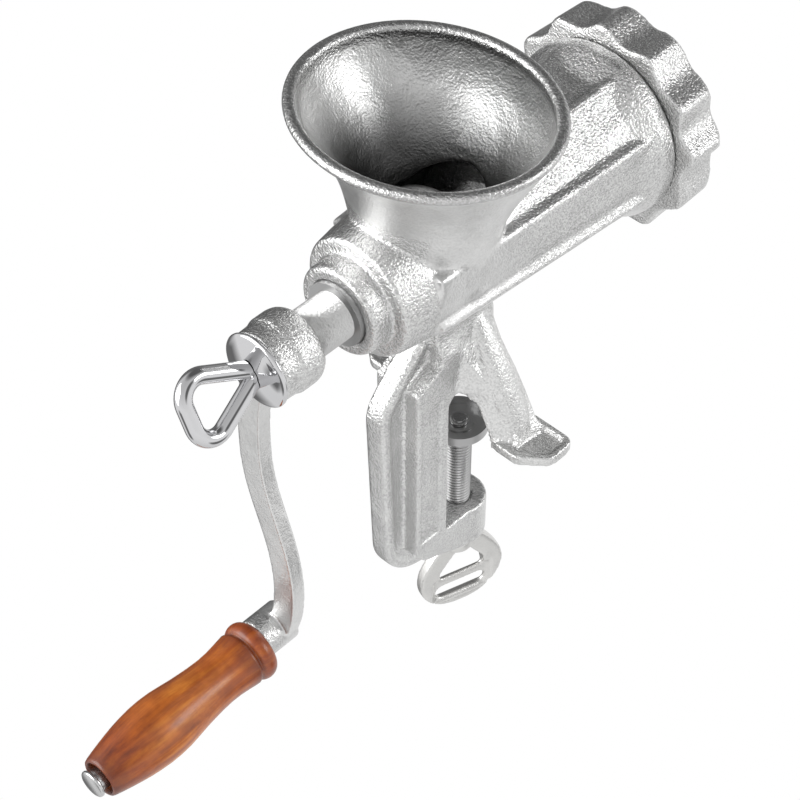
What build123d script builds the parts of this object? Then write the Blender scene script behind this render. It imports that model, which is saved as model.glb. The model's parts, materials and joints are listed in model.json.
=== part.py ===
from build123d import *
import os
from math import cos, pi, sin

# Hand crank meat grinder that clamps to a table edge.
# Millimetres, +Z up. The origin is on the table face under the two feet, on the axis of the
# clamp screw. The barrel lies along Y: the ring nut is at +Y and the crank at -Y.
# Places along the barrel are Y stations, and heights are Z.

# --- fits -----------------------------------------------------------------------------------
running_fit = 0.05      # radial play of a shaft or a thread that turns
face_gap = 0.1          # between flat faces of two bodies that rub
seat_gap = 0.3          # between curved or loose faces that rest on each other

# --- barrel -----------------------------------------------------------------------------------
axis_height = 103.0     # barrel axis above the table face
mouth_station = 96.5    # open front end of the barrel
collar_station = 83.5   # front face of the flared collar, where the ring nut stops
collar_length = 6.5
collar_radius = 40.0
flare_length = 11.0
thread_radius = 36.3    # outside of the barrel's front thread
front_radius = 34.7     # barrel just behind the flare
rear_radius = 28.0      # barrel at the rear shoulder
rear_station = -50.5
bore_radius = 27.0
bore_start = -46.0      # inner rear wall of the barrel
rib_count = 8           # long ribs around the barrel
rib_first_angle = 28.0  # first rib, from +X towards +Z
rib_start = -44.0
rib_end = 80.0
rib_rear_crest = 31.6   # crest radius at the rear end
rib_front_crest = 38.8
rib_steep = 3.5         # run of the steep flank
rib_slope = 13.0        # run of the gentle flank

# --- hub behind the barrel ----------------------------------------------------------------------
shoulder_radius = 26.5
shoulder_station = -61.5
hub_radius = 20.0
hub_face_radius = 18.8
hub_station = -71.5     # rear face of the hub
bush_radius = 14.0
bush_station = -73.3    # the bush stands slightly proud of the hub
journal_radius = 10.6

# --- hopper -------------------------------------------------------------------------------------
hopper_station = -23.5
hopper_top = 72.7       # rim above the barrel axis
rim_bead = 2.4
rim_x, rim_y = 54.0, 47.3
throat_radius = 21.3

# --- clamp frame --------------------------------------------------------------------------------
spine_half = 12.0       # half width of the spine block and of the lower arm
spine_inner = -19.5     # face of the spine towards the table edge
spine_outer = -39.0
web_half = 4.0
rim_half = 5.5
rim_depth = 6.0
arm_top = -58.5         # upper face of the lower arm
arm_bottom = -81.0
arm_boss_radius = 13.3
neck_half = 8.5
foot_reach = 53.6       # outer end of a foot from the middle
foot_front = 13.5
foot_rear = -11.5
foot_thickness = 4.5
leg_front = 10.0
arch_height = 26.0      # clear height under the saddle

# --- feed screw ---------------------------------------------------------------------------------
core_radius = 13.0
flight_radius = 26.4
flight_pitch = 30.0
flight_start = -40.0
flight_end = 80.0
flight_root = 6.0
flight_tip = 3.0
tail_square = 14.0
washer_thickness = 1.0

# --- knife, plate and ring nut ------------------------------------------------------------------
knife_thickness = 6.0
knife_reach = 26.0
knife_hub_radius = 10.5
knife_square = 9.5
pilot_radius = 4.7
plate_radius = 31.0
plate_thickness = 7.0
plate_seat = 4.0        # depth of the plate's seat in the mouth
plate_hole_radius = 4.0
key_radius = 2.0
nut_length = 21.0
nut_lobes = 12
nut_tip = 48.4
nut_front_tip = 47.7
nut_valley = 43.9
nut_first_lobe = 5.0      # degrees, from +X towards +Z
outlet_radius = 27.5

# --- crank --------------------------------------------------------------------------------------
boss_back = -91.5
boss_length = 21.5
boss_front = boss_back - boss_length
boss_radius = 16.2
boss_back_radius = 12.5
boss_front_radius = 14.4
arm_station = boss_back - 12.0    # middle of the arm's thickness
arm_width = 12.0
arm_depth = 7.0
grip_x = -7.6           # axis of the grip, from the barrel axis
grip_drop = 170.0
end_boss_radius = 9.6
end_boss_x = -9.4       # the boss is cast a little off the grip's axis
end_boss_z = -168.8
grip_lean_x = -1.09      # degrees, outer end towards +X
grip_lean_z = 0.63       # degrees, outer end downwards
end_boss_front = arm_station - 13.9

# --- crank screw --------------------------------------------------------------------------------
cap_radius = 16.2
cap_dome = 4.5
stud_radius = 4.0
stud_length = 18.0      # thread inside the shaft
stud_end = boss_front - 6.0
loop_rod = 3.5
loop_end = boss_front - 34.9   # middle of the rod at the loop's far side
loop_half = 17.2        # corner of the loop's triangle, before rounding
loop_round = 8.0
crank_loop_angle = 116.0

# --- grip ---------------------------------------------------------------------------------------
grip_length = 90.4
grip_belly = 14.4
grip_station = end_boss_front - seat_gap
grip_recess = 5.0       # depth of the counterbore in the outer end
grip_recess_radius = 7.4
spindle_radius = 3.0
grip_end_play = 4.5       # from the grip's outer end to the pin's face
spindle_head_radius = 6.4
spindle_head = 3.0

# --- clamp screw --------------------------------------------------------------------------------
screw_radius = 6.0
screw_end = -91.5
neck_radius = 3.4
peened_radius = 4.2
peened_height = 1.8
pad_radius = 13.0
pad_height = 4.6
pad_floor = 1.6
pad_wall = 1.8
pad_drop = 10.0         # rim of the pad below the table face at rest
pad_washer_radius = 6.4
pad_washer_thickness = 0.8
clamp_loop_top = -87.0
clamp_loop_bottom = -134.3
clamp_loop_half = 21.4
clamp_loop_thickness = 5.6
clamp_loop_shift = 2.5  # the casting sits a little to one side of the screw
clamp_loop_angle = 72.0

centred = (Align.CENTER, Align.CENTER, Align.MIN)


def at_axis(part):
    """Local Z becomes the barrel axis, Y, at its height."""
    return Pos(0, 0, axis_height) * Rot(-90, 0, 0) * part


def turned(outline):
    """Solid of revolution about Z from (radius, station) points."""
    return revolve(Plane.XZ * make_face(Polyline(*outline, close=True)), Axis.Z)


def rod(radius, start, end):
    return Pos(0, 0, start) * Cylinder(radius, end - start, align=centred)


def barrel_body():
    flare_end = collar_station - collar_length
    flare_start = flare_end - flare_length
    return turned([
        (0, hub_station), (hub_face_radius, hub_station), (hub_radius - 0.2, hub_station + 1.4),
        (hub_radius, shoulder_station), (shoulder_radius - 1.2, shoulder_station),
        (shoulder_radius, shoulder_station + 1.2), (rear_radius, rear_station),
        (front_radius, flare_start), (collar_radius, flare_end), (collar_radius, collar_station),
        (thread_radius, collar_station), (thread_radius, mouth_station), (0, mouth_station),
    ])


def barrel_rib(angle):
    """A long wedge with one steep flank, lying on the barrel's taper."""
    sections = []
    for station, crest in ((rib_start, rib_rear_crest), (rib_end, rib_front_crest)):
        section = make_face(Polyline(
            (crest - 5, -rib_steep - 1), (crest, 0), (crest, 1.5), (crest - 6, rib_slope), close=True))
        sections.append(Pos(0, 0, station) * section)
    return Rot(0, 0, -angle) * loft(sections, ruled=True)


def funnel(rings):
    """Loft through ellipses given as (height above the axis, half x, half y, lean towards the mouth)."""
    faces = []
    for height, half_x, half_y, lean in rings:
        faces.append(Pos(0, hopper_station + lean, axis_height + height) * Ellipse(half_x, half_y))
    return loft(faces)


def hopper_outside():
    return funnel([
        (-4, 30.5, 28.5, 0.8), (20, 31.4, 29.2, 1.2), (34, 36, 32.6, 2.6), (47, 42.3, 38, 4), (59, 49, 43.6, 3),
        (hopper_top - 0.4, rim_x, rim_y, 0)])


def hopper_inside():
    return funnel([
        (0, throat_radius, throat_radius, 1.5), (20, throat_radius + 0.5, throat_radius + 0.5, 1.5),
        (34, 29.5, 27, 2.6), (47, 38.4, 34.3, 4), (59, 46, 40.6, 3), (hopper_top, rim_x - 2, rim_y - 2, 0),
        (hopper_top + 4, rim_x - 1, rim_y - 1, 0)])


def hopper_rim():
    path = Pos(0, hopper_station, axis_height + hopper_top - rim_bead) * Edge.make_ellipse(rim_x, rim_y)
    section = Plane(origin=path @ 0, x_dir=(0, 0, 1), z_dir=path % 0) * Circle(rim_bead)
    return sweep(section, path=path)


def side_profile(points, half):
    """A YZ outline extruded to both sides of the middle."""
    return extrude(Plane.YZ * make_face(Polyline(*points, close=True)), amount=half, both=True)


def clamp_frame():
    """Spine, lower arm with its boss, thin web and the rounded rim round the outside."""
    neck_top = axis_height - rear_radius + 8
    block = side_profile([
        (spine_outer, 39), (-32, 43), (-26, 46), (-20, 50), (-9, 50), (-9, arch_height + 2),
        (spine_inner + 5, arch_height), (spine_inner, arch_height - 5), (spine_inner, arm_top),
        (0, arm_top), (0, arm_bottom), (-9, arm_bottom + 1), (-21, -74), (-34, -68),
        (spine_outer, -60)], spine_half)
    for side in (-1, 1):
        block -= Pos(side * spine_half, -30, -14) * Box(2.4, 12.5, 84)
    neck = side_profile([(-25, neck_top), (-25, 46), (-9, 46), (-9, neck_top)], neck_half)
    web = side_profile([
        (-26, neck_top), (-29, 54), (-50, 34), (-47, -66), (-10, -80), (-10, -62), (-22, -62), (-22, 42),
        (-12, 46), (-12, neck_top)], web_half)
    boss = Pos(0, 0, arm_bottom) * Cylinder(arm_boss_radius, arm_top - arm_bottom, align=centred)
    rim_path = Plane.YZ * FilletPolyline((-20, 66), (-50.5, 31), (-46.8, -70.5), (-10, -80.5), radius=[16, 22])
    section = Plane(origin=rim_path @ 0, x_dir=(1, 0, 0), z_dir=rim_path % 0)
    rim = sweep(section * RectangleRounded(2 * rim_half, rim_depth, 2.4), path=rim_path)
    return block + neck + web + boss + rim


def leg(side):
    """One leg and the shoulder above it, lofted through level sections; side is 1 or -1."""
    lower = [
        (0, (28, foot_rear), (38, -7), (38.5, 1), (39.5, leg_front), (28, leg_front)),
        (foot_thickness, (27, foot_rear), (37.5, -6), (37, 1), (38.5, leg_front), (27, leg_front)),
        (10, (25, foot_rear), (34, -5), (32.6, 1), (34, leg_front), (25, leg_front)),
        (20, (20, foot_rear), (28.4, -5), (26.6, 1), (28.8, leg_front), (20, leg_front)),
        (arch_height, (12, -15), (25, -6), (23.4, 1), (25, leg_front), (12, leg_front)),
    ]
    upper = [
        (arch_height, (12, -24), (12, -17), (25, -6), (23.4, 1), (25, leg_front)),
        (30, (12, -24), (12, -16), (22, -7), (20.6, 1), (22.3, leg_front)),
        (40, (12, -24), (12, -14), (15.4, -11), (13.6, 0), (14.4, leg_front)),
        (50, (12, -24), (12, -15), (11.2, -13), (9.8, 0), (9.6, leg_front)),
        (58, (9, -24), (9, -15), (8.9, -12), (8.8, 0), (8.8, leg_front)),
        (82, (neck_half, -24), (neck_half, -15), (neck_half, -12), (neck_half, 0), (neck_half, leg_front)),
    ]
    body = loft([level(side, height, points) for height, *points in lower], ruled=True)
    above = []
    for height, *points in upper:
        above.append(level(side, height, [(0, -24)] + points + [(0, leg_front)]))
    return body + loft(above, ruled=True)


def level(side, height, points):
    """A level face through (x, y) points."""
    return Pos(0, 0, height) * make_face(Polyline(*[(side * x, y) for x, y in points], close=True))


def foot(side):
    """A shallow pan with a raised rim."""
    outline = [(27, foot_rear), (42, foot_rear), (foot_reach, -2), (foot_reach, foot_front), (27, foot_front)]
    inset = [(37, foot_rear + 4), (41, foot_rear + 4), (foot_reach - 3, 0), (foot_reach - 3, foot_front - 3),
             (37, foot_front - 3)]
    plan = FilletPolyline(*[(side * x, y) for x, y in outline], radius=5, close=True)
    hollow = FilletPolyline(*[(side * x, y) for x, y in inset], radius=1.8, close=True)
    plate = extrude(make_face(plan), amount=foot_thickness + 0.6)
    return plate - Pos(0, 0, foot_thickness - 2) * extrude(make_face(hollow), amount=4)


def saddle():
    """The two feet and the legs that join them under the barrel."""
    return leg(1) + leg(-1) + foot(1) + foot(-1)


def body_casting():
    casting = at_axis(barrel_body()) + hopper_outside()
    casting += clamp_frame() + saddle()
    for number in range(rib_count):
        casting += at_axis(barrel_rib(rib_first_angle + number * 360 / rib_count))
    casting += hopper_rim()
    casting -= at_axis(rod(bore_radius, bore_start, mouth_station))
    casting -= hopper_inside()
    casting -= at_axis(rod(bush_radius, hub_station, bore_start))
    casting -= at_axis(rod(plate_radius + face_gap, mouth_station - plate_seat, mouth_station))
    casting -= at_axis(plate_key())
    casting -= Pos(0, 0, arm_bottom) * Cylinder(screw_radius + running_fit, arm_top - arm_bottom, align=centred)
    return casting


def bush():
    """Pressed-in rear bearing of the feed screw."""
    return rod(bush_radius, bush_station, bore_start) - rod(journal_radius + running_fit, bush_station, bore_start)


def plate_key():
    """Pin in the mouth that stops the plate from turning."""
    return Pos(0, plate_radius - key_radius / 2, 0) * rod(key_radius, mouth_station - plate_seat - 4, mouth_station)


def knife_start():
    return mouth_station - plate_seat - face_gap - knife_thickness


def feed_screw():
    """Core, journal, square tail and one helical flight."""
    core_end = knife_start()
    seat = bore_start + face_gap + washer_thickness
    core = turned([
        (0, boss_back), (journal_radius, boss_back), (journal_radius, seat), (core_radius + 3, seat),
        (core_radius + 3, flight_start), (core_radius, flight_start + 10), (core_radius, core_end), (0, core_end)])
    helix = Helix(flight_pitch, flight_end - flight_start, core_radius, center=(0, 0, flight_start))
    reach = flight_radius - core_radius
    section = Plane(origin=helix @ 0, x_dir=(1, 0, 0), z_dir=helix % 0) * make_face(Polyline(
        (-1, -flight_root / 2), (reach, -flight_tip / 2), (reach, flight_tip / 2), (-1, flight_root / 2), close=True))
    flight = sweep(section, path=helix, is_frenet=True)
    tail_end = boss_front + 2
    tail = extrude(Pos(0, 0, tail_end) * Rectangle(tail_square, tail_square), amount=boss_back - tail_end)
    tail &= rod(journal_radius - 1, tail_end, boss_back)
    socket = Pos(0, 0, core_end - 12) * Cylinder(pilot_radius, 12, align=centred)
    return core + flight + tail - rod(stud_radius, tail_end, tail_end + stud_length) - socket


def thrust_washer():
    start = bore_start + face_gap
    end = start + washer_thickness
    return rod(core_radius + 3, start, end) - rod(journal_radius, start, end)


def knife_stud():
    """Pin in the feed screw, a square for the knife and a round pilot for the plate."""
    start = knife_start()
    square = extrude(Pos(0, 0, start) * Rectangle(knife_square, knife_square), amount=knife_thickness)
    return square + rod(pilot_radius, start - 12, mouth_station - plate_seat + plate_thickness - 0.5)


def cross_knife():
    """Four swept blades with ground leading edges round a square hole."""
    blade = make_face([
        Line((5, -5), (5, 5)), ThreePointArc((5, 5), (15, 4.5), (knife_reach - 1.5, 7.5)),
        ThreePointArc((knife_reach - 1.5, 7.5), (knife_reach - 0.2, 3), (knife_reach - 0.3, -2)),
        ThreePointArc((knife_reach - 0.3, -2), (15, -5.6), (5, -5))])
    flat = Circle(knife_hub_radius) + PolarLocations(0, 4) * blade
    knife = extrude(flat - Rectangle(knife_square, knife_square), amount=knife_thickness)
    return Pos(0, 0, knife_start()) * knife


def mincing_plate():
    """Perforated disc, held from turning by the key in its notch."""
    start = mouth_station - plate_seat
    disc = Circle(plate_radius) - Circle(pilot_radius + running_fit)
    for ring_radius, count in ((10.8, 6), (21.2, 12)):
        disc -= PolarLocations(ring_radius, count, 15) * Circle(plate_hole_radius)
    notch = Pos(0, plate_radius) * Rectangle(2 * key_radius + 2 * seat_gap, 3 * key_radius + 2 * seat_gap)
    return Pos(0, 0, start) * extrude(disc - notch, amount=plate_thickness)


def ring_nut():
    """Lobed ring with a thread inside and a lip that holds the plate."""
    start = collar_station + seat_gap
    lip = mouth_station - plate_seat + plate_thickness + face_gap
    points = []
    for number in range(nut_lobes):
        tip = 2 * pi * number / nut_lobes - nut_first_lobe * pi / 180
        valley = tip + pi / nut_lobes
        points += [(nut_tip * cos(tip), nut_tip * sin(tip)), (nut_valley * cos(valley), nut_valley * sin(valley))]
    rear = make_face(Spline(*points, periodic=True))
    body = loft([rear, Pos(0, 0, nut_length) * scale(rear, nut_front_tip / nut_tip)], ruled=True)
    body &= turned([
        (0, 0), (nut_tip - 1.2, 0), (nut_tip, 1.2), (nut_tip, nut_length - 3.6),
        (nut_front_tip - 1, nut_length - 1.3), (nut_front_tip - 3.4, nut_length), (0, nut_length)])
    body = Pos(0, 0, start) * body - rod(thread_radius + running_fit, start, lip)
    return body - rod(outlet_radius, lip, start + nut_length)


def crank_arm():
    """Boss on the shaft, S-shaped arm and end boss for the grip, in one piece."""
    boss = turned([
        (0, boss_back), (boss_back_radius, boss_back), (boss_radius - 1.4, boss_back - 1.1),
        (boss_radius, boss_back - 4), (boss_radius, arm_station), (boss_front_radius + 0.3, boss_front + 2.5),
        (boss_front_radius, boss_front), (0, boss_front)])
    hole = extrude(Pos(0, 0, boss_front) * Rectangle(tail_square, tail_square), amount=boss_back - boss_front)
    hole &= rod(journal_radius - 1, boss_front, boss_back)
    line = Spline((-9, -8), (-16, -50), (-14, -80), (-3.5, -115), (-1, -140), (grip_x, -grip_drop))
    arm_back = arm_station + arm_depth / 2
    arm = Pos(0, arm_back, axis_height) * extrude(Plane.XZ * trace(line, arm_width), amount=arm_depth)
    end = Pos(end_boss_x, 0, end_boss_z) * at_axis(rod(end_boss_radius, end_boss_front, arm_back))
    return at_axis(boss) + arm + end - at_axis(hole) - at_grip(rod(spindle_radius, end_boss_front, arm_back))


def crank_cap():
    """Domed washer under the crank screw."""
    front = boss_front - cap_dome
    outline = [
        (0, boss_front), (cap_radius, boss_front), (cap_radius, boss_front - 1.6), (cap_radius - 2, boss_front - 2.2),
        (9, boss_front - 3.6), (6, front), (0, front)]
    return turned(outline) - rod(stud_radius + running_fit, front, boss_front)


def crank_screw():
    return rod(stud_radius, stud_end, boss_front + 2 + stud_length)


def crank_screw_loop():
    """Rod bent to a rounded triangle, brazed to the sides of the stud."""
    half_path = Plane.XZ * FilletPolyline((1.6, stud_end + 3.4), (loop_half, loop_end), (0, loop_end), radius=loop_round)
    section = Plane(origin=half_path @ 0, z_dir=half_path % 0) * Circle(loop_rod)
    half_loop = sweep(section, path=half_path)
    loop = half_loop + mirror(half_loop, about=Plane.YZ)
    loop -= rod(stud_radius, stud_end, boss_front)
    loop -= Pos(0, 0, boss_front - cap_dome - face_gap) * Cylinder(cap_radius, 20, align=centred)
    return Rot(0, 0, -crank_loop_angle) * loop


def wooden_grip():
    """Turned wood: a bead at the arm, a groove, a waist, a belly and a recessed flat end."""
    shape = [(0.91, 0.108), (0.84, 0.166), (0.79, 0.277), (0.87, 0.442), (1, 0.63), (0.92, 0.796), (0.65, 1)]
    belly = Spline(*[(radius * grip_belly, -station * grip_length) for radius, station in shape])
    shoulder, outer_end = belly @ 0, belly @ 1
    face = make_face([
        belly, Line(outer_end, (0, -grip_length)), Line((0, -grip_length), (0, 0)),
        Line((0, 0), (12, 0)), ThreePointArc((12, 0), (14, -3.9), (12, -7.6)), Line((12, -7.6), shoulder)])
    wood = revolve(Plane.XZ * face, Axis.Z)
    wood -= rod(grip_recess_radius, -grip_length, grip_recess - grip_length)
    return wood - rod(spindle_radius + running_fit, -grip_length, 0)


def grip_end_washer():
    """Steel ring at the bottom of the grip's recess."""
    start = grip_recess - grip_length - 1
    return rod(grip_recess_radius, start, start + 1) - rod(spindle_radius + running_fit, start, start + 1)


def grip_spindle():
    """Pin riveted in the arm, with a flat head at its far end."""
    outer_face = grip_station - grip_length - grip_end_play
    head = rod(spindle_head_radius, outer_face, outer_face + spindle_head)
    return rod(spindle_radius, outer_face, arm_station + arm_depth / 2) + head


def at_grip(part):
    """Onto the grip's axis, which leans a little from the barrel axis about the end boss."""
    lean = Pos(0, 0, end_boss_front) * Rot(grip_lean_z, grip_lean_x, 0) * Pos(0, 0, -end_boss_front)
    return Pos(grip_x, 0, -grip_drop) * at_axis(lean * part)


def clamp_screw():
    """Threaded rod with a neck through the pad and a peened end in the cup."""
    shoulder = -pad_drop - pad_height - face_gap
    head = -pad_drop - pad_height + pad_floor + face_gap + pad_washer_thickness
    screw = Pos(0, 0, screw_end) * Cylinder(screw_radius, shoulder - screw_end, align=centred)
    screw += Pos(0, 0, shoulder) * Cylinder(neck_radius, head - shoulder, align=centred)
    return screw + Pos(0, 0, head) * Cylinder(peened_radius, peened_height, align=centred)


def clamp_pad():
    """Shallow cup with its rim upwards."""
    cup = Cylinder(pad_radius, pad_height, align=centred)
    cup -= Pos(0, 0, pad_floor) * Cylinder(pad_radius - pad_wall, pad_height, align=centred)
    cup -= Cylinder(neck_radius + running_fit, pad_height, align=centred)
    return Pos(0, 0, -pad_drop - pad_height) * cup


def pad_washer():
    ring = Cylinder(pad_washer_radius, pad_washer_thickness, align=centred)
    ring -= Cylinder(neck_radius, pad_washer_thickness, align=centred)
    return Pos(0, 0, -pad_drop - pad_height + pad_floor + face_gap) * ring


def clamp_screw_loop():
    """Flat cast handle: a rounded triangle with a finger hole, a crossbar and a slot."""
    length = clamp_loop_top - clamp_loop_bottom
    shape = [(0.42, 0.07), (0.75, 0.25), (0.98, 0.465), (1, 0.655), (0.77, 0.867), (0.37, 0.98)]
    half = [(across * clamp_loop_half, clamp_loop_top - down * length) for across, down in shape]
    other = [(-x, z) for x, z in reversed(half)]
    outline = make_face(Spline((0, clamp_loop_top), *half, (0, clamp_loop_bottom), *other, periodic=True))
    finger = make_face(FilletPolyline((0, -93.2), (11.5, -109), (11.5, -115.5), (-11.5, -115.5), (-11.5, -109), radius=2, close=True))
    slot = Pos(0, -124.4) * RectangleRounded(25, 5.4, 2.6)
    plate = extrude(Plane.XZ * (outline - finger - slot), amount=clamp_loop_thickness / 2, both=True)
    loop = Pos(clamp_loop_shift, 0, 0) * plate
    hub = Pos(0, 0, clamp_loop_top - 5) * Cylinder(8.5, 5, align=centred)
    loop = loop + hub - Pos(0, 0, screw_end) * Cylinder(screw_radius, 20, align=centred)
    return Rot(0, 0, clamp_loop_angle) * loop


nodes = {
    "body_casting": body_casting(),
    "rear_bush": at_axis(bush()),
    "plate_key": at_axis(plate_key()),
    "feed_screw": at_axis(feed_screw()),
    "thrust_washer": at_axis(thrust_washer()),
    "knife_stud": at_axis(knife_stud()),
    "cross_knife": at_axis(cross_knife()),
    "mincing_plate": at_axis(mincing_plate()),
    "ring_nut": at_axis(ring_nut()),
    "crank_arm": crank_arm(),
    "crank_cap": at_axis(crank_cap()),
    "crank_screw": at_axis(crank_screw()),
    "crank_screw_loop": at_axis(crank_screw_loop()),
    "wooden_grip": at_grip(Pos(0, 0, grip_station) * wooden_grip()),
    "grip_end_washer": at_grip(Pos(0, 0, grip_station) * grip_end_washer()),
    "grip_spindle": at_grip(grip_spindle()),
    "clamp_screw": clamp_screw(),
    "clamp_screw_loop": clamp_screw_loop(),
    "clamp_pad": clamp_pad(),
    "pad_washer": pad_washer(),
}

os.makedirs("parts", exist_ok=True)
for name, solid in nodes.items():
    export_step(solid, f"parts/{name}.step")
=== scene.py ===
import bpy
import json
import math
import numpy as np
from mathutils import Matrix, Vector

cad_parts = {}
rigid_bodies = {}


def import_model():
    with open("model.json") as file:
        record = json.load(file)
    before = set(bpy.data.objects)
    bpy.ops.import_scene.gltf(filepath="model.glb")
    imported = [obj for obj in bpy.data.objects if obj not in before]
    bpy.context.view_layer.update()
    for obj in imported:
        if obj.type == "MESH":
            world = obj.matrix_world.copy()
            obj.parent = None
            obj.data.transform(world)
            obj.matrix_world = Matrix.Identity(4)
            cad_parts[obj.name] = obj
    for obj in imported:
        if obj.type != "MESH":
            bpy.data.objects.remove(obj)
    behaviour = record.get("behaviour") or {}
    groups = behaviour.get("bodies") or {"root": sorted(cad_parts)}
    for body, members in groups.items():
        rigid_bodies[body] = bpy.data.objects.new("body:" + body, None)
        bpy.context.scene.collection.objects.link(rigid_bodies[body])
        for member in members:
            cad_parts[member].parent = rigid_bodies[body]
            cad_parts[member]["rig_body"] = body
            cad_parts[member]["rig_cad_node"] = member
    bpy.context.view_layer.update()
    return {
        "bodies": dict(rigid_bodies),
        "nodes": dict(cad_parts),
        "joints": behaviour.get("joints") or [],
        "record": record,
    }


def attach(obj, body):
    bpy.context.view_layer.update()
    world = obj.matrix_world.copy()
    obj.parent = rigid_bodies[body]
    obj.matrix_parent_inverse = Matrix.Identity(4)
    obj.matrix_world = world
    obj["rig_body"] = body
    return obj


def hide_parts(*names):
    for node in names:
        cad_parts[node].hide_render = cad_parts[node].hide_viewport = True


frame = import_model()
nodes = frame["nodes"]

# the barrel's axis lies along Y at this height, and the hopper stands on it at this station
axisHeight = 0.103
hopperStation = -0.0235
onBarrel = Matrix.Translation((0, 0, axisHeight)) @ Matrix.Rotation(-math.pi / 2, 4, "X")
mm = 1000                          # outlines, cutters and added forms are in millimetres
smoothAngle = math.radians(40)     # edges of turned pieces sharper than this stay sharp
copyMerge = 0.000005               # points of a copy closer than this are merged
turnedMerge = 0.000001


def say(text):
    print("stage:", text, flush=True)


def deselect():
    if bpy.context.object and bpy.context.object.mode != "OBJECT":
        bpy.ops.object.mode_set(mode="OBJECT")
    bpy.ops.object.select_all(action="DESELECT")


def focus(obj):
    deselect()
    obj.select_set(True)
    bpy.context.view_layer.objects.active = obj


def applyPlace(obj):
    focus(obj)
    bpy.ops.object.transform_apply(location=True, rotation=True, scale=True)


def applyModifier(obj, kind, **settings):
    focus(obj)
    modifier = obj.modifiers.new(kind.title(), kind)
    for key, value in settings.items():
        setattr(modifier, key, value)
    bpy.ops.object.modifier_apply(modifier=modifier.name)


def copyOf(node, name):
    # a free copy of a node with its loose triangles merged
    source = nodes[node]
    obj = source.copy()
    obj.data = source.data.copy()
    obj.name = name
    obj.parent = None
    obj.modifiers.clear()
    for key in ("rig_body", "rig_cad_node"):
        if key in obj:
            del obj[key]
    bpy.context.scene.collection.objects.link(obj)
    focus(obj)
    bpy.ops.object.mode_set(mode="EDIT")
    bpy.ops.mesh.select_all(action="SELECT")
    bpy.ops.mesh.remove_doubles(threshold=copyMerge)
    bpy.ops.mesh.customdata_custom_splitnormals_clear()
    bpy.ops.object.mode_set(mode="OBJECT")
    return obj


def softened(obj, voxel, rounds):
    # one skin over all that obj holds, with its edges rounded off
    applyModifier(obj, "REMESH", mode="VOXEL", voxel_size=voxel, use_smooth_shade=True)
    applyModifier(obj, "SMOOTH", factor=0.5, iterations=rounds)
    focus(obj)
    bpy.ops.object.shade_smooth()
    return obj


def turnedPiece(name, stations, sides, place=None):
    # a ring about local Z is extruded and resized at each (station, radius)
    deselect()
    station, radius = stations[0]
    bpy.ops.mesh.primitive_circle_add(
        vertices=sides, radius=radius / mm, location=(0, 0, station / mm))
    obj = bpy.context.object
    obj.name = name
    applyPlace(obj)
    bpy.ops.object.mode_set(mode="EDIT")
    bpy.ops.mesh.select_all(action="SELECT")
    for nextStation, nextRadius in stations[1:]:
        bpy.ops.mesh.extrude_region_move(
            TRANSFORM_OT_translate={"value": (0, 0, (nextStation - station) / mm)})
        share = nextRadius / radius
        bpy.ops.transform.resize(
            value=(share, share, 1), center_override=(0, 0, nextStation / mm))
        station, radius = nextStation, nextRadius
    bpy.ops.mesh.select_all(action="SELECT")
    bpy.ops.mesh.remove_doubles(threshold=turnedMerge)
    bpy.ops.mesh.select_all(action="DESELECT")
    bpy.ops.mesh.select_non_manifold()    # the two poles, unless the outline closes on itself
    bpy.ops.mesh.fill_holes(sides=0)
    bpy.ops.mesh.select_all(action="SELECT")
    bpy.ops.mesh.normals_make_consistent(inside=False)
    bpy.ops.object.mode_set(mode="OBJECT")
    focus(obj)
    bpy.ops.object.shade_smooth_by_angle(angle=smoothAngle)
    if place:
        obj.matrix_world = place
        applyPlace(obj)
    return obj


def shapedInPlace(name, size, place, lean=0.0):
    # the primitive just added is resized, leant about Y and moved
    obj = bpy.context.object
    obj.name = name
    bpy.ops.object.mode_set(mode="EDIT")
    bpy.ops.mesh.select_all(action="SELECT")
    bpy.ops.transform.resize(value=size, center_override=(0, 0, 0))
    bpy.ops.object.mode_set(mode="OBJECT")
    move = Matrix.Translation([step / mm for step in place])
    obj.matrix_world = move @ Matrix.Rotation(math.radians(lean), 4, "Y")
    applyPlace(obj)
    return obj


def roundedBlock(name, size, place, bevel, turn, bevelSteps=4):
    # a bevelled block, moved first and then turned about Z
    deselect()
    bpy.ops.mesh.primitive_cube_add(size=1)
    obj = bpy.context.object
    obj.name = name
    bpy.ops.object.mode_set(mode="EDIT")
    bpy.ops.mesh.select_all(action="SELECT")
    bpy.ops.transform.resize(value=tuple(s / mm for s in size), center_override=(0, 0, 0))
    bpy.ops.mesh.bevel(offset=bevel / mm, segments=bevelSteps, affect="EDGES")
    bpy.ops.transform.translate(value=tuple(s / mm for s in place))
    bpy.ops.object.mode_set(mode="OBJECT")
    obj.rotation_euler = (0, 0, math.radians(turn))
    applyPlace(obj)
    return obj


def joined(main, *others):
    deselect()
    for obj in (main, *others):
        obj.select_set(True)
    bpy.context.view_layer.objects.active = main
    bpy.ops.object.join()
    return main


def cutAway(obj, cutter):
    applyModifier(obj, "BOOLEAN", object=cutter, operation="DIFFERENCE", solver="EXACT")
    bpy.data.objects.remove(cutter)


def meshArrays(mesh):
    count = len(mesh.vertices)
    co = np.zeros(count * 3)
    normal = np.zeros(count * 3)
    mesh.vertices.foreach_get("co", co)
    mesh.vertices.foreach_get("normal", normal)
    return co.reshape(-1, 3), normal.reshape(-1, 3)


def evenly(share):
    return lambda co, *others: np.full(len(co), share)


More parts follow.
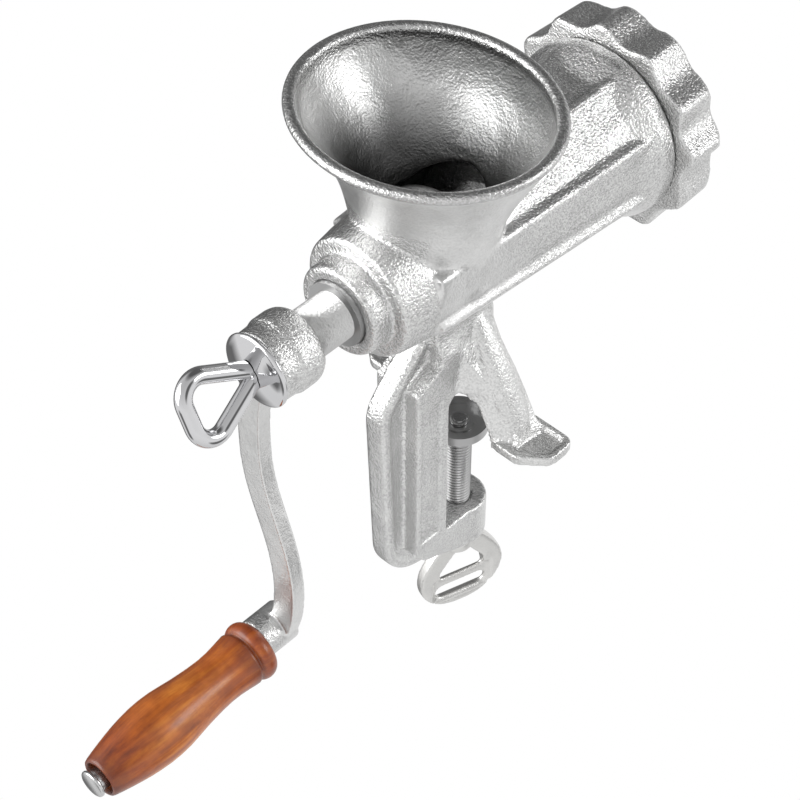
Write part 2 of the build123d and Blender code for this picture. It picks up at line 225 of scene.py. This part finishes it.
def markSurface(obj, sand=evenly(1.0), hollow=None, hollowRounds=3, sandRounds=8):
    # cavity: how hollow the surface is there, which sets its painted shade; grain: how sandy it
    # is
    mesh = obj.data
    count = len(mesh.vertices)
    co, normal = meshArrays(mesh)
    ends = np.zeros(len(mesh.edges) * 2, int)
    mesh.edges.foreach_get("vertices", ends)
    a, b = ends.reshape(-1, 2).T
    degree = np.bincount(a, minlength=count) + np.bincount(b, minlength=count)
    degree = np.maximum(degree, 1)
    length = np.linalg.norm(co[a] - co[b], axis=1).mean()

    def around(values):
        # mean of the neighbours' values
        total = np.bincount(a, values[b], count) + np.bincount(b, values[a], count)
        return total / degree

    def spread(values, rounds):
        for _ in range(rounds):
            values = 0.5 * values + 0.5 * around(values)
        return values

    middle = np.stack([around(co[:, k]) for k in range(3)], 1)
    bend = spread(((middle - co) * normal).sum(1) / length, hollowRounds)
    if hollow:
        bend = hollow(co, normal, bend)
    grain = spread(sand(co, normal), sandRounds)
    for name, values in (("cavity", bend), ("grain", grain)):
        layer = mesh.attributes.new(name, "FLOAT", "POINT")
        layer.data.foreach_set("value", values)


def newMaterial(name):
    material = bpy.data.materials.new(name)
    material.use_nodes = True
    tree = material.node_tree
    return material, tree, tree.nodes["Principled BSDF"]


def addNode(tree, kind, **values):
    # a value goes to the input of that name, or else to the node's own property
    node = tree.nodes.new(kind)
    for key, value in values.items():
        if key in node.inputs:
            node.inputs[key].default_value = value
        else:
            setattr(node, key, value)
    return node


def objectPlace(tree):
    return tree.nodes.new("ShaderNodeTexCoord").outputs["Object"]


def noiseAt(tree, place, **values):
    noise = addNode(tree, "ShaderNodeTexNoise", **values)
    tree.links.new(place, noise.inputs["Vector"])
    return noise.outputs["Fac"]


def shareOf(tree, value, low, high):
    # value as a share of the way from low to high
    node = tree.nodes.new("ShaderNodeMapRange")
    node.inputs["From Min"].default_value = low
    node.inputs["From Max"].default_value = high
    tree.links.new(value, node.inputs["Value"])
    return node.outputs["Result"]


def ramp(tree, source, stops):
    node = tree.nodes.new("ShaderNodeValToRGB")
    while len(node.color_ramp.elements) < len(stops):
        node.color_ramp.elements.new(0.5)
    for element, (place, tone) in zip(node.color_ramp.elements, stops):
        element.position = place
        element.color = (tone, tone, tone, 1) if isinstance(tone, float) else (*tone, 1)
    tree.links.new(source, node.inputs["Fac"])
    return node.outputs["Color"]


def mixColour(tree, factor, first, second, kind="MIX"):
    node = tree.nodes.new("ShaderNodeMix")
    node.data_type = "RGBA"
    node.blend_type = kind
    sockets = (node.inputs[0], node.inputs[6], node.inputs[7])    # factor, A and B
    for socket, value in zip(sockets, (factor, first, second)):
        if isinstance(value, bpy.types.NodeSocket):
            tree.links.new(value, socket)
        elif isinstance(value, tuple):
            socket.default_value = (*value, 1)
        else:
            socket.default_value = value
    return node.outputs[2]


def bumpOn(tree, height, strength, relief, normal=None):
    node = addNode(tree, "ShaderNodeBump", Strength=strength, Distance=relief)
    tree.links.new(height, node.inputs["Height"])
    if normal:
        tree.links.new(normal, node.inputs["Normal"])
    return node.outputs["Normal"]


def plainMetal(name, colour, roughness):
    material, tree, shader = newMaterial(name)
    shader.inputs["Metallic"].default_value = 1.0
    shader.inputs["Base Color"].default_value = (*colour, 1)
    shader.inputs["Roughness"].default_value = roughness
    return material


castLook = {
    "colour": (0.75, 0.75, 0.745),
    "dullPatch": 0.9,              # share of the colour that the duller patches keep
    "sandyRoughness": 0.2,
    "smoothRoughness": 0.4,
    "sandScale": 1000.0,
    "sandRelief": 0.0006,
    "sandTones": [(0.35, 0.80), (0.58, 1.0)],
    "rippleScale": 70.0,
    "rippleRelief": 0.002,
    "rippleStrength": 0.4,
    "dirtTones": [(0.02, 1.0), (0.16, 0.3), (0.32, 0.09)],    # by how hollow the surface is
}


def castMetal(name, look):
    # tinned sand casting: sharp sandy grain, a slow ripple and painted shade in the hollows
    material, tree, shader = newMaterial(name)
    shader.inputs["Metallic"].default_value = 1.0
    place = objectPlace(tree)
    fine = noiseAt(tree, place, Scale=look["sandScale"], Detail=2.0, Roughness=0.55)
    broad = noiseAt(tree, place, Scale=look["rippleScale"], Detail=3.0, Roughness=0.5)
    grain = addNode(tree, "ShaderNodeAttribute", attribute_name="grain").outputs["Fac"]
    cavity = addNode(tree, "ShaderNodeAttribute", attribute_name="cavity").outputs["Fac"]

    height = addNode(tree, "ShaderNodeMath", operation="MULTIPLY")
    tree.links.new(fine, height.inputs[0])
    tree.links.new(grain, height.inputs[1])
    normal = bumpOn(tree, height.outputs[0], 1.0, look["sandRelief"])
    normal = bumpOn(tree, broad, look["rippleStrength"], look["rippleRelief"], normal)
    tree.links.new(normal, shader.inputs["Normal"])

    dull = tuple(look["dullPatch"] * c for c in look["colour"])
    tone = ramp(tree, broad, [(0.3, dull), (0.7, look["colour"])])
    specks = ramp(tree, fine, look["sandTones"])
    tone = mixColour(tree, grain, tone, mixColour(tree, 1.0, tone, specks, "MULTIPLY"))
    # painted shade, deeper where the surface is more hollow
    hollowShade = ramp(tree, cavity, look["dirtTones"])
    tone = mixColour(tree, 1.0, tone, hollowShade, "MULTIPLY")
    tree.links.new(tone, shader.inputs["Base Color"])

    polish = tree.nodes.new("ShaderNodeMapRange")
    polish.inputs["To Min"].default_value = look["smoothRoughness"]
    polish.inputs["To Max"].default_value = look["sandyRoughness"]
    tree.links.new(grain, polish.inputs["Value"])
    tree.links.new(polish.outputs["Result"], shader.inputs["Roughness"])
    return material


def dress(obj, material):
    obj.data.materials.clear()
    obj.data.materials.append(material)


def replaceNode(obj, node, body, material):
    dress(obj, material)
    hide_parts(node)
    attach(obj, body)


castSkin = castMetal("castSkin", castLook)
# colour and roughness
metals = {
    "chrome": ((0.62, 0.62, 0.63), 0.06),
    "steel": ((0.42, 0.42, 0.42), 0.3),
    "brightSteel": ((0.58, 0.58, 0.58), 0.24),
}
chrome, steel, brightSteel = (plainMetal(name, *look) for name, look in metals.items())

say("body casting")
casting = {
    "voxel": 0.0008,
    "rounds": 10,
    "meshShare": 0.38,                 # of the triangles, kept at the end
    "rimRadii": (0.0534, 0.0027),      # rolled rim in metres, before it is made oval
    "rimSegments": (144, 18),
    "rimSize": (1.0, 0.874, 0.9),
    "rimHeight": 173.25,
    "swellSize": (4.2, 7.5, 33.0),     # fuller front of each leg
    "swellPlace": (22.6, 1.0, 28.5),
    "swellLean": 27.1,
    "swellSegments": (48, 32),
    # how sandy each region is
    "plainSand": 0.42,
    "frameSand": 0.75,
    "spineSand": 1.0,
    "barrelSand": 1.0,
    "funnelSand": 0.4,
    "rimSand": 0.8,
    # painted shade in the hollows, down the funnel, in the throat and on the rim
    "frameHollow": 0.3,                # share that the frame's inner corners keep
    "ribHollow": 0.45,                 # share that the valleys between the ribs keep
    "outerShade": 0.16,                 # most painted shade that any place outside the funnel gets
    "funnelShade": 0.25,                # at the bottom of the funnel's wall
    "rimShade": 0.06,
    "throatShade": 0.14,
    "funnelShadeShare": (0.82, 0.3),          # of the funnel's painted shade, and how much more by the crank
    # where the regions lie; rises are from the barrel's axis, reaches from the hopper's
    "frameTop": 0.07,
    "spineFoot": 0.02,
    "spineFront": -0.02,
    "barrelRise": -0.02,
    "ribEnd": 0.080,
    "ribRise": -0.045,
    "hubFront": -0.045,
    "hubTopRise": 0.032,
    "funnelRise": 0.02,
    "funnelReach": 0.052,
    "shadeRise": 0.054,                 # the funnel's painted shade starts here and is full below
    "shadeFade": 0.022,
    "throatRise": 0.040,
    "throatReach": 0.0245,
    "rimDepth": 0.0055,
    "rimGap": 0.006,
}

deselect()
rimMajor, rimMinor = casting["rimRadii"]
rimSides, rimSteps = casting["rimSegments"]
bpy.ops.mesh.primitive_torus_add(
    major_radius=rimMajor, minor_radius=rimMinor,
    major_segments=rimSides, minor_segments=rimSteps)
rimPlace = (0, mm * hopperStation, casting["rimHeight"])
fullerParts = [shapedInPlace("rimBead", casting["rimSize"], rimPlace)]
swellX, swellY, swellZ = casting["swellPlace"]
swellSides, swellRings = casting["swellSegments"]
for side in (-1, 1):
    deselect()
    bpy.ops.mesh.primitive_uv_sphere_add(
        radius=1 / mm, segments=swellSides, ring_count=swellRings)
    fullerParts.append(shapedInPlace(
        "legSwell", casting["swellSize"], (side * swellX, swellY, swellZ),
        -side * casting["swellLean"]))
bodySkin = joined(copyOf("body_casting", "bodySkin"), *fullerParts)
bodySkin = softened(bodySkin, casting["voxel"], casting["rounds"])
applyModifier(bodySkin, "DECIMATE", ratio=casting["meshShare"])
rimTop = float(meshArrays(bodySkin.data)[0][:, 2].max())


def funnelWall(co, normal):
    # the funnel's inner wall looks towards its own middle
    x, y, z = co.T
    reach = y - hopperStation
    inwards = x * normal[:, 0] + reach * normal[:, 1] < 0
    near = np.hypot(x, reach) < casting["funnelReach"]
    return inwards & near & (z > axisHeight + casting["funnelRise"])


def bodySand(co, normal):
    # the barrel, the hub and the spine's back are sandy, the hopper is the smoothest
    x, y, z = co.T
    rise = z - axisHeight
    frame = z < casting["frameTop"]
    spine = frame & (z > casting["spineFoot"]) & (y < casting["spineFront"])
    barrel = (y > 0) & (rise > casting["barrelRise"])
    hub = (y < casting["hubFront"]) & (rise > casting["barrelRise"])
    hub &= rise < casting["hubTopRise"]
    sand = np.full(len(co), casting["plainSand"])
    sand[frame] = casting["frameSand"]
    sand[spine] = casting["spineSand"]
    sand[barrel | hub] = casting["barrelSand"]
    sand[funnelWall(co, normal)] = casting["funnelSand"]
    sand[z > rimTop - casting["rimDepth"]] = casting["rimSand"]
    return sand


def bodyHollow(co, normal, bend):
    # painted shade: the frame's corners keep little of it, and it deepens down the funnel
    # towards the throat
    x, y, z = co.T
    rise = z - axisHeight
    ribs = (y > 0) & (y < casting["ribEnd"]) & (rise > casting["ribRise"])
    wall = funnelWall(co, normal) & (z < rimTop - casting["rimGap"])
    rim = z > rimTop - casting["rimDepth"]
    throat = (np.hypot(x, y - hopperStation) < casting["throatReach"]) & (rise > 0)
    throat &= rise < casting["throatRise"]
    depth = np.clip((casting["shadeRise"] - rise) / casting["shadeFade"], 0, 1)
    share, more = casting["funnelShadeShare"]
    depth *= np.clip(share + more * normal[:, 1], 0, 1)
    bend = np.where(z < casting["frameTop"], casting["frameHollow"] * bend, bend)
    bend = np.where(ribs, casting["ribHollow"] * bend, bend)
    funnelShading = np.maximum(bend, casting["funnelShade"] * depth)
    bend = np.where(wall, funnelShading, np.minimum(bend, casting["outerShade"]))
    # a little painted shade over the rim dims its highlight, and more of it in the throat
    bend = np.where(rim, np.maximum(bend, casting["rimShade"]), bend)
    return np.where(throat, np.maximum(bend, casting["throatShade"]), bend)


markSurface(bodySkin, bodySand, bodyHollow)
replaceNode(bodySkin, "body_casting", "body", castSkin)

say("ring nut")
nut = {"voxel": 0.0009, "rounds": 8}
nutSkin = softened(copyOf("ring_nut", "nutSkin"), nut["voxel"], nut["rounds"])
markSurface(nutSkin)
replaceNode(nutSkin, "ring_nut", "nut", castSkin)

say("feed screw")
worm = {"shaftSand": 0.3, "flightSand": 0.9, "shaftEnd": -0.04, "hollow": 0.06}


def wormSand(co, normal):
    return np.where(co[:, 1] < worm["shaftEnd"], worm["shaftSand"], worm["flightSand"])


wormSkin = copyOf("feed_screw", "wormSkin")
markSurface(wormSkin, wormSand, evenly(worm["hollow"]))
replaceNode(wormSkin, "feed_screw", "crank", castSkin)

say("crank arm")
arm = {
    "voxel": 0.0006,
    "rounds": 7,
    "barSand": 0.3,
    "bossSand": 0.95,
    "endSand": 0.7,
    "bossRise": -0.019,        # the boss lies above, from the barrel's axis
    "endRise": -0.155,         # the end boss lies below, and in front of the bar
    "endFront": -0.109,
    # the boss in two steps: a front collar behind the cap and a fuller rear part
    "sleeve": [
        (-112.8, 11.5), (-112.8, 14.9), (-112.3, 15.3), (-104.4, 15.6), (-103.9, 16.5),
        (-97.0, 16.5), (-94.6, 16.0), (-92.8, 14.8), (-91.9, 13.2), (-91.9, 11.5),
        (-112.8, 11.5)],
    "sides": 96,
}
bossSleeve = turnedPiece("bossSleeve", arm["sleeve"], arm["sides"], onBarrel)
armSkin = joined(copyOf("crank_arm", "armSkin"), bossSleeve)
armSkin = softened(armSkin, arm["voxel"], arm["rounds"])


def armSand(co, normal):
    # both bosses are sandy, and the bar between them is smooth
    rise = co[:, 2] - axisHeight
    sand = np.full(len(co), arm["barSand"])
    sand[rise > arm["bossRise"]] = arm["bossSand"]
    sand[(rise < arm["endRise"]) & (co[:, 1] < arm["endFront"])] = arm["endSand"]
    return sand


markSurface(armSkin, armSand)
replaceNode(armSkin, "crank_arm", "crank", castSkin)

say("clamp handle")
handle = {
    "voxel": 0.0005,
    "rounds": 30,
    "sand": 0.25,
    "look": {**castLook, "colour": (0.72, 0.715, 0.70), "sandScale": 1150.0,
             "sandRelief": 0.0004, "rippleStrength": 0.1},
    "turn": 72.0,
    # size, place and bevel of what is cut away: the slot, then the recess on each side
    "slotCutter": ((26, 24, 7.6), (2.5, 0, -124.6), 3.4),
    "frontCutter": ((31, 6, 16.6), (2.5, 4.3, -121.6), 1.6),
    "backCutter": ((31, 6, 16.6), (2.5, -4.3, -121.6), 1.6),
}
handleSkin = copyOf("clamp_screw_loop", "handleSkin")
for name in ("slotCutter", "frontCutter", "backCutter"):
    cutAway(handleSkin, roundedBlock(name, *handle[name], handle["turn"]))
handleSkin = softened(handleSkin, handle["voxel"], handle["rounds"])
markSurface(handleSkin, evenly(handle["sand"]))
loopCast = castMetal("loopCast", handle["look"])
replaceNode(handleSkin, "clamp_screw_loop", "clamp", loopCast)

say("crank cap")
cap = {
    "rim": [
        (-113.0, 4.4), (-113.0, 15.2), (-113.2, 15.7), (-113.7, 16.1), (-114.2, 16.15),
        (-114.7, 15.9), (-115.1, 15.3), (-115.35, 14.4)],
    "front": -117.5,
    "domeDepth": 2.2,
    "domeRadius": 14.2,
    "domePower": 2.4,          # higher is flatter in the middle
    "domeRings": (13.6, 12.6, 11.4, 10, 8.6, 7.2, 5.8, 4.4),
    "sides": 96,
}


def domeStation(radius):
    return cap["front"] + cap["domeDepth"] * (radius / cap["domeRadius"]) ** cap["domePower"]


capDome = [(domeStation(radius), radius) for radius in cap["domeRings"]]
capOutline = [*cap["rim"], *capDome, cap["rim"][0]]
capSkin = turnedPiece("capSkin", capOutline, cap["sides"], onBarrel)
replaceNode(capSkin, "crank_cap", "cap", chrome)

say("clamp screw")
screw = {
    "pitch": 1.75,
    "turns": 39,
    "steps": 32,               # in each turn
    "toothRadius": 0.9,        # of the triangle that is swept, and its middle and start
    "toothMiddle": 5.07,
    "toothStart": -84.5,
    # core, neck through the pad and peened end
    "core": [
        (-91.4, 0.4), (-91.4, 4.9), (-16.0, 4.9), (-15.0, 4.4), (-15.0, 3.4), (-11.8, 3.4),
        (-11.8, 4.1), (-11.4, 4.2), (-10.7, 4.0), (-10.5, 3.2), (-10.5, 2.6), (-10.1, 2.4),
        (-10.05, 0.3)],
    "sides": 48,
    "smoothAngle": 35,
    "plainTone": (0.6, 0.6, 0.6),      # where the tones below aren't shown
    "roughness": 0.2,
    "rootRadius": 0.0049,
    "crestRadius": 0.00595,
    "rootShadeCrestHighlight": [(0.0, 0.10), (0.4, 0.55), (0.85, 0.95)],    # painted shade at the root to painted highlight at the crest
    "endTone": (0.34, 0.34, 0.34),     # of the plain end, over the last heights
    "endHeights": (-0.0166, -0.0158),
}


def threadMetal(name, look):
    # painted highlight on the crests and painted shade in the roots, about the local Z axis
    material = plainMetal(name, look["plainTone"], look["roughness"])
    tree = material.node_tree
    parts = tree.nodes.new("ShaderNodeSeparateXYZ")
    tree.links.new(objectPlace(tree), parts.inputs[0])
    flat = tree.nodes.new("ShaderNodeCombineXYZ")
    for axis in "XY":
        tree.links.new(parts.outputs[axis], flat.inputs[axis])
    reach = addNode(tree, "ShaderNodeVectorMath", operation="LENGTH")
    tree.links.new(flat.outputs[0], reach.inputs[0])
    height = shareOf(tree, reach.outputs["Value"], look["rootRadius"], look["crestRadius"])
    tone = ramp(tree, height, look["rootShadeCrestHighlight"])
    end = shareOf(tree, parts.outputs["Z"], *look["endHeights"])
    tone = mixColour(tree, end, tone, look["endTone"])
    tree.links.new(tone, tree.nodes["Principled BSDF"].inputs["Base Color"])
    return material


deselect()
bpy.ops.mesh.primitive_circle_add(
    vertices=3, radius=screw["toothRadius"] / mm,
    location=(screw["toothMiddle"] / mm, 0, screw["toothStart"] / mm),
    rotation=(math.pi / 2, math.pi / 2, 0))
thread = bpy.context.object
thread.name = "screwSkin"
applyPlace(thread)
applyModifier(
    thread, "SCREW", axis="Z", angle=2 * math.pi, screw_offset=screw["pitch"] / mm,
    iterations=screw["turns"], steps=screw["steps"], render_steps=screw["steps"],
    use_merge_vertices=True)
bpy.ops.object.mode_set(mode="EDIT")
bpy.ops.mesh.select_all(action="SELECT")
bpy.ops.mesh.normals_make_consistent(inside=False)
bpy.ops.object.mode_set(mode="OBJECT")
screwSkin = joined(thread, turnedPiece("screwCore", screw["core"], screw["sides"]))
focus(screwSkin)
bpy.ops.object.shade_smooth_by_angle(angle=math.radians(screw["smoothAngle"]))
replaceNode(screwSkin, "clamp_screw", "clamp", threadMetal("threadSteel", screw))

say("wooden grip")
grip = {
    "axis": (-0.0076, 0.170),          # X, and drop below the barrel's axis
    "pivot": -0.1174,                  # station about which the grip leans
    "leans": (0.63, -1.09),            # degrees about its local X and Y
    "start": -117.7,
    "length": 90.4,
    "widest": 14.4,
    "bore": 3.1,
    "startRadius": 10.8,
    "beadMiddle": (-3.8, 11.4),        # from the start, and radius
    "beadSize": (3.8, 2.55),
    "beadAngles": range(10, 171, 16),
    "neck": [(-7.9, 11.55), (-8.3, 11.5), (-9.3, 12.6), (-9.9, 12.8)],
    # share of the length, share of the widest radius
    "belly": [
        (0.115, 0.885), (0.14, 0.865), (0.166, 0.842), (0.22, 0.803), (0.277, 0.79),
        (0.34, 0.808), (0.40, 0.842), (0.45, 0.876), (0.51, 0.93), (0.57, 0.978),
        (0.63, 0.998), (0.69, 0.99), (0.75, 0.955), (0.80, 0.913), (0.85, 0.855),
        (0.90, 0.79), (0.95, 0.718), (0.985, 0.662)],
    "rounding": [(0.3, 9.1), (0.0, 8.6), (0.0, 7.9), (0.6, 7.4)],    # from the outer end
    "recess": (5.0, 7.4),              # depth and radius
    "sides": 96,
    "stretch": (260, 14, 260),         # the figure runs along Y
    "figure": [
        (0.25, (0.16, 0.030, 0.004)), (0.5, (0.36, 0.090, 0.008)), (0.75, (0.55, 0.20, 0.025))],
    "ends": (-0.208, -0.1177),
    # from the outer end to the bead: painted shade at the ends, a painted highlight on the belly
    # and painted shade in the groove
    "paintedShadeAndHighlight": [
        (0.0, (0.38, 0.24, 0.18)), (0.12, (0.84, 0.66, 0.5)), (0.34, (1.25, 1.3, 1.5)),
        (0.6, (1.2, 1.22, 1.35)), (0.80, (1.0, 0.86, 0.75)), (0.90, (0.46, 0.32, 0.24)),
        (0.93, (0.8, 0.6, 0.45)), (1.0, (0.68, 0.48, 0.36))],
    "blotchScale": 95.0,
    "blotches": [(0.35, (0.80, 0.72, 0.62)), (0.62, (1.12, 1.12, 1.12))],
    "poreStrength": 0.35,
    "poreRelief": 0.0003,
    "roughness": 0.4,
    "varnish": 0.36,
    "varnishRoughness": 0.2,
}


def woodMaterial(name, look):
    material, tree, shader = newMaterial(name)
    place = objectPlace(tree)
    stretch = tree.nodes.new("ShaderNodeMapping")
    stretch.inputs["Scale"].default_value = look["stretch"]
    tree.links.new(place, stretch.inputs["Vector"])
    grain = noiseAt(tree, stretch.outputs["Vector"], Scale=1.0, Detail=6.0, Roughness=0.6)
    along = tree.nodes.new("ShaderNodeSeparateXYZ")
    tree.links.new(place, along.inputs[0])
    share = shareOf(tree, along.outputs["Y"], *look["ends"])
    blotch = noiseAt(tree, place, Scale=look["blotchScale"], Detail=3.0, Roughness=0.6)

    tone = ramp(tree, grain, look["figure"])
    # painted shade at the ends and in the groove, and a painted highlight on the belly
    tone = mixColour(tree, 1.0, tone, ramp(tree, share, look["paintedShadeAndHighlight"]), "MULTIPLY")
    tone = mixColour(tree, 1.0, tone, ramp(tree, blotch, look["blotches"]), "MULTIPLY")
    tree.links.new(tone, shader.inputs["Base Color"])
    pores = bumpOn(tree, grain, look["poreStrength"], look["poreRelief"])
    tree.links.new(pores, shader.inputs["Normal"])
    shader.inputs["Roughness"].default_value = look["roughness"]
    shader.inputs["Coat Weight"].default_value = look["varnish"]
    shader.inputs["Coat Roughness"].default_value = look["varnishRoughness"]
    return material


gripX, gripDrop = grip["axis"]
gripPlace = (
    Matrix.Translation((gripX, 0, axisHeight - gripDrop)) @ Matrix.Rotation(-math.pi / 2, 4, "X")
    @ Matrix.Translation((0, 0, grip["pivot"]))
    @ Matrix.Rotation(math.radians(grip["leans"][0]), 4, "X")
    @ Matrix.Rotation(math.radians(grip["leans"][1]), 4, "Y")
    @ Matrix.Translation((0, 0, -grip["pivot"])))
gripStart = grip["start"]
gripEnd = gripStart - grip["length"]
beadStation, beadRadius = grip["beadMiddle"]
beadDepth, beadHeight = grip["beadSize"]
recessDepth, recessRadius = grip["recess"]
outline = [(gripStart, grip["bore"]), (gripStart, grip["startRadius"])]
for angle in grip["beadAngles"]:
    turn = math.radians(angle)
    outline.append((
        gripStart + beadStation + beadDepth * math.cos(turn),
        beadRadius + beadHeight * math.sin(turn)))
outline += [(gripStart + step, radius) for step, radius in grip["neck"]]
outline += [
    (gripStart - grip["length"] * share, grip["widest"] * wide) for share, wide in grip["belly"]]
outline += [(gripEnd + step, radius) for step, radius in grip["rounding"]]
outline += [
    (gripEnd + recessDepth, recessRadius), (gripEnd + recessDepth, grip["bore"]),
    (gripStart, grip["bore"])]
gripSkin = turnedPiece("gripSkin", outline, grip["sides"], gripPlace)
replaceNode(gripSkin, "wooden_grip", "grip", woodMaterial("varnishedWood", grip))

say("grip's pin")
# the thin round head stands on a neck, so that a dark gap shows under it
pin = {
    "proud": 4.5,              # from the grip's outer end to the head's face
    "head": [(0, 5.7), (0.3, 6.2), (0.7, 6.4), (1.4, 6.4), (1.8, 6.1)],
    "neckStart": 1.9,
    "neckRadius": 4.9,
    "neckDepth": 4.8,          # into the grip's recess
    "radius": 3.0,
    "farEnd": -100.2,
    "poleRadius": 0.02,
    "sides": 64,
}
pinFace = gripEnd - pin["proud"]
neckEnd = gripEnd + pin["neckDepth"]
pinOutline = [(pinFace, pin["poleRadius"])]
pinOutline += [(pinFace + step, radius) for step, radius in pin["head"]]
pinOutline += [
    (pinFace + pin["neckStart"], pin["neckRadius"]), (neckEnd, pin["neckRadius"]),
    (neckEnd, pin["radius"]), (pin["farEnd"], pin["radius"]), (pin["farEnd"], pin["poleRadius"])]
pinSkin = turnedPiece("pinSkin", pinOutline, pin["sides"], gripPlace)
replaceNode(pinSkin, "grip_spindle", "crank", brightSteel)

say("small parts")
smallParts = {
    "crank_screw": chrome, "crank_screw_loop": chrome, "rear_bush": steel, "plate_key": steel,
    "thrust_washer": steel, "knife_stud": steel, "cross_knife": steel, "mincing_plate": steel,
    "grip_end_washer": steel, "clamp_pad": steel, "pad_washer": steel,
}
for name, material in smallParts.items():
    dress(nodes[name], material)

say("stage and lights")
studio = {
    # the room's brightness from straight below to straight above
    "dome": [
        (0.0, 0.85), (0.25, 1.0), (0.46, 1.05), (0.52, 1.0), (0.64, 0.92), (0.80, 0.8),
        (1.0, 0.65)],
    # dark flags around the room: direction, cosine where one starts and where it is full
    "flags": [
        ((-0.20, 0.55, 0.81), 0.70, 0.92), ((0.66, -0.40, 0.40), 0.94, 0.985),
        ((0.20, 0.95, 0.25), 0.95, 0.985), ((-0.86, 0.50, 0.03), 0.72, 0.92),
        ((0.86, 0.05, 0.50), 0.925, 0.975), ((-0.765, 0.10, -0.635), 0.80, 0.93),
        ((-0.06, -0.81, -0.58), 0.95, 0.985), ((0.80, 0.30, -0.52), 0.96, 0.985)],
    "flagTone": 0.2,
    # place, width, height and power; both look at the middle
    "middle": (0, -0.03, 0.06),
    "keyBox": ((-0.60, -1.00, 0.45), 1.1, 1.0, 14.0),
    "sideBox": ((0.98, 0.60, 0.62), 0.6, 0.45, 4.5),
    "floorSize": 6.0,
    "floorHeight": -0.6,
}


def softbox(name, place, width, height, power):
    deselect()
    bpy.ops.object.light_add(type="AREA", location=place)
    lamp = bpy.context.object
    lamp.name = name
    lamp.data.shape = "RECTANGLE"
    lamp.data.size = width
    lamp.data.size_y = height
    lamp.data.energy = power
    aim = Vector(studio["middle"]) - Vector(place)
    lamp.rotation_euler = aim.to_track_quat("-Z", "Y").to_euler()


deselect()
world = bpy.data.worlds.new("studio")
bpy.context.scene.world = world
world.use_nodes = True
sky = world.node_tree
sky.nodes.clear()
direction = sky.nodes.new("ShaderNodeTexCoord").outputs["Generated"]
parts = sky.nodes.new("ShaderNodeSeparateXYZ")
sky.links.new(direction, parts.inputs[0])
dome = ramp(sky, shareOf(sky, parts.outputs["Z"], -1, 1), studio["dome"])
for towards, edge, full in studio["flags"]:
    aim = addNode(sky, "ShaderNodeVectorMath", operation="DOT_PRODUCT")
    aim.inputs[1].default_value = towards
    sky.links.new(direction, aim.inputs[0])
    flag = ramp(sky, aim.outputs["Value"], [(edge, 1.0), (full, studio["flagTone"])])
    dome = mixColour(sky, 1.0, dome, flag, "MULTIPLY")
seen = sky.nodes.new("ShaderNodeLightPath").outputs["Is Camera Ray"]
room = sky.nodes.new("ShaderNodeBackground")
sky.links.new(mixColour(sky, seen, dome, (1.0, 1.0, 1.0)), room.inputs["Color"])
output = sky.nodes.new("ShaderNodeOutputWorld")
sky.links.new(room.outputs[0], output.inputs[0])
for name in ("keyBox", "sideBox"):
    softbox(name, *studio[name])

# a plain white floor well below the clamp; only the camera sees it, so it lights nothing
deselect()
bpy.ops.mesh.primitive_plane_add(
    size=studio["floorSize"], location=(0, 0, studio["floorHeight"]))
floor = bpy.context.object
floor.name = "floor"
floorPaint, tree, shader = newMaterial("floorPaint")
glow = addNode(tree, "ShaderNodeEmission", Color=(1, 1, 1, 1), Strength=1.0)
tree.links.new(glow.outputs[0], tree.nodes["Material Output"].inputs["Surface"])
tree.nodes.remove(shader)
dress(floor, floorPaint)
for ray in ("diffuse", "glossy", "transmission", "shadow"):
    setattr(floor, "visible_" + ray, False)

say("camera")
view = {
    "place": (0.43180, -0.49169, 0.68321),
    "turn": (43.78, 0, 43.53),
    "lens": 99.0,
    "sensor": 36.0,
    "farthest": 20,
}
deselect()
bpy.ops.object.camera_add(
    location=view["place"], rotation=[math.radians(angle) for angle in view["turn"]])
camera = bpy.context.object
camera.data.lens = view["lens"]
camera.data.sensor_width = view["sensor"]
camera.data.clip_end = view["farthest"]
scene = bpy.context.scene
scene.camera = camera
scene.view_settings.view_transform = "Standard"
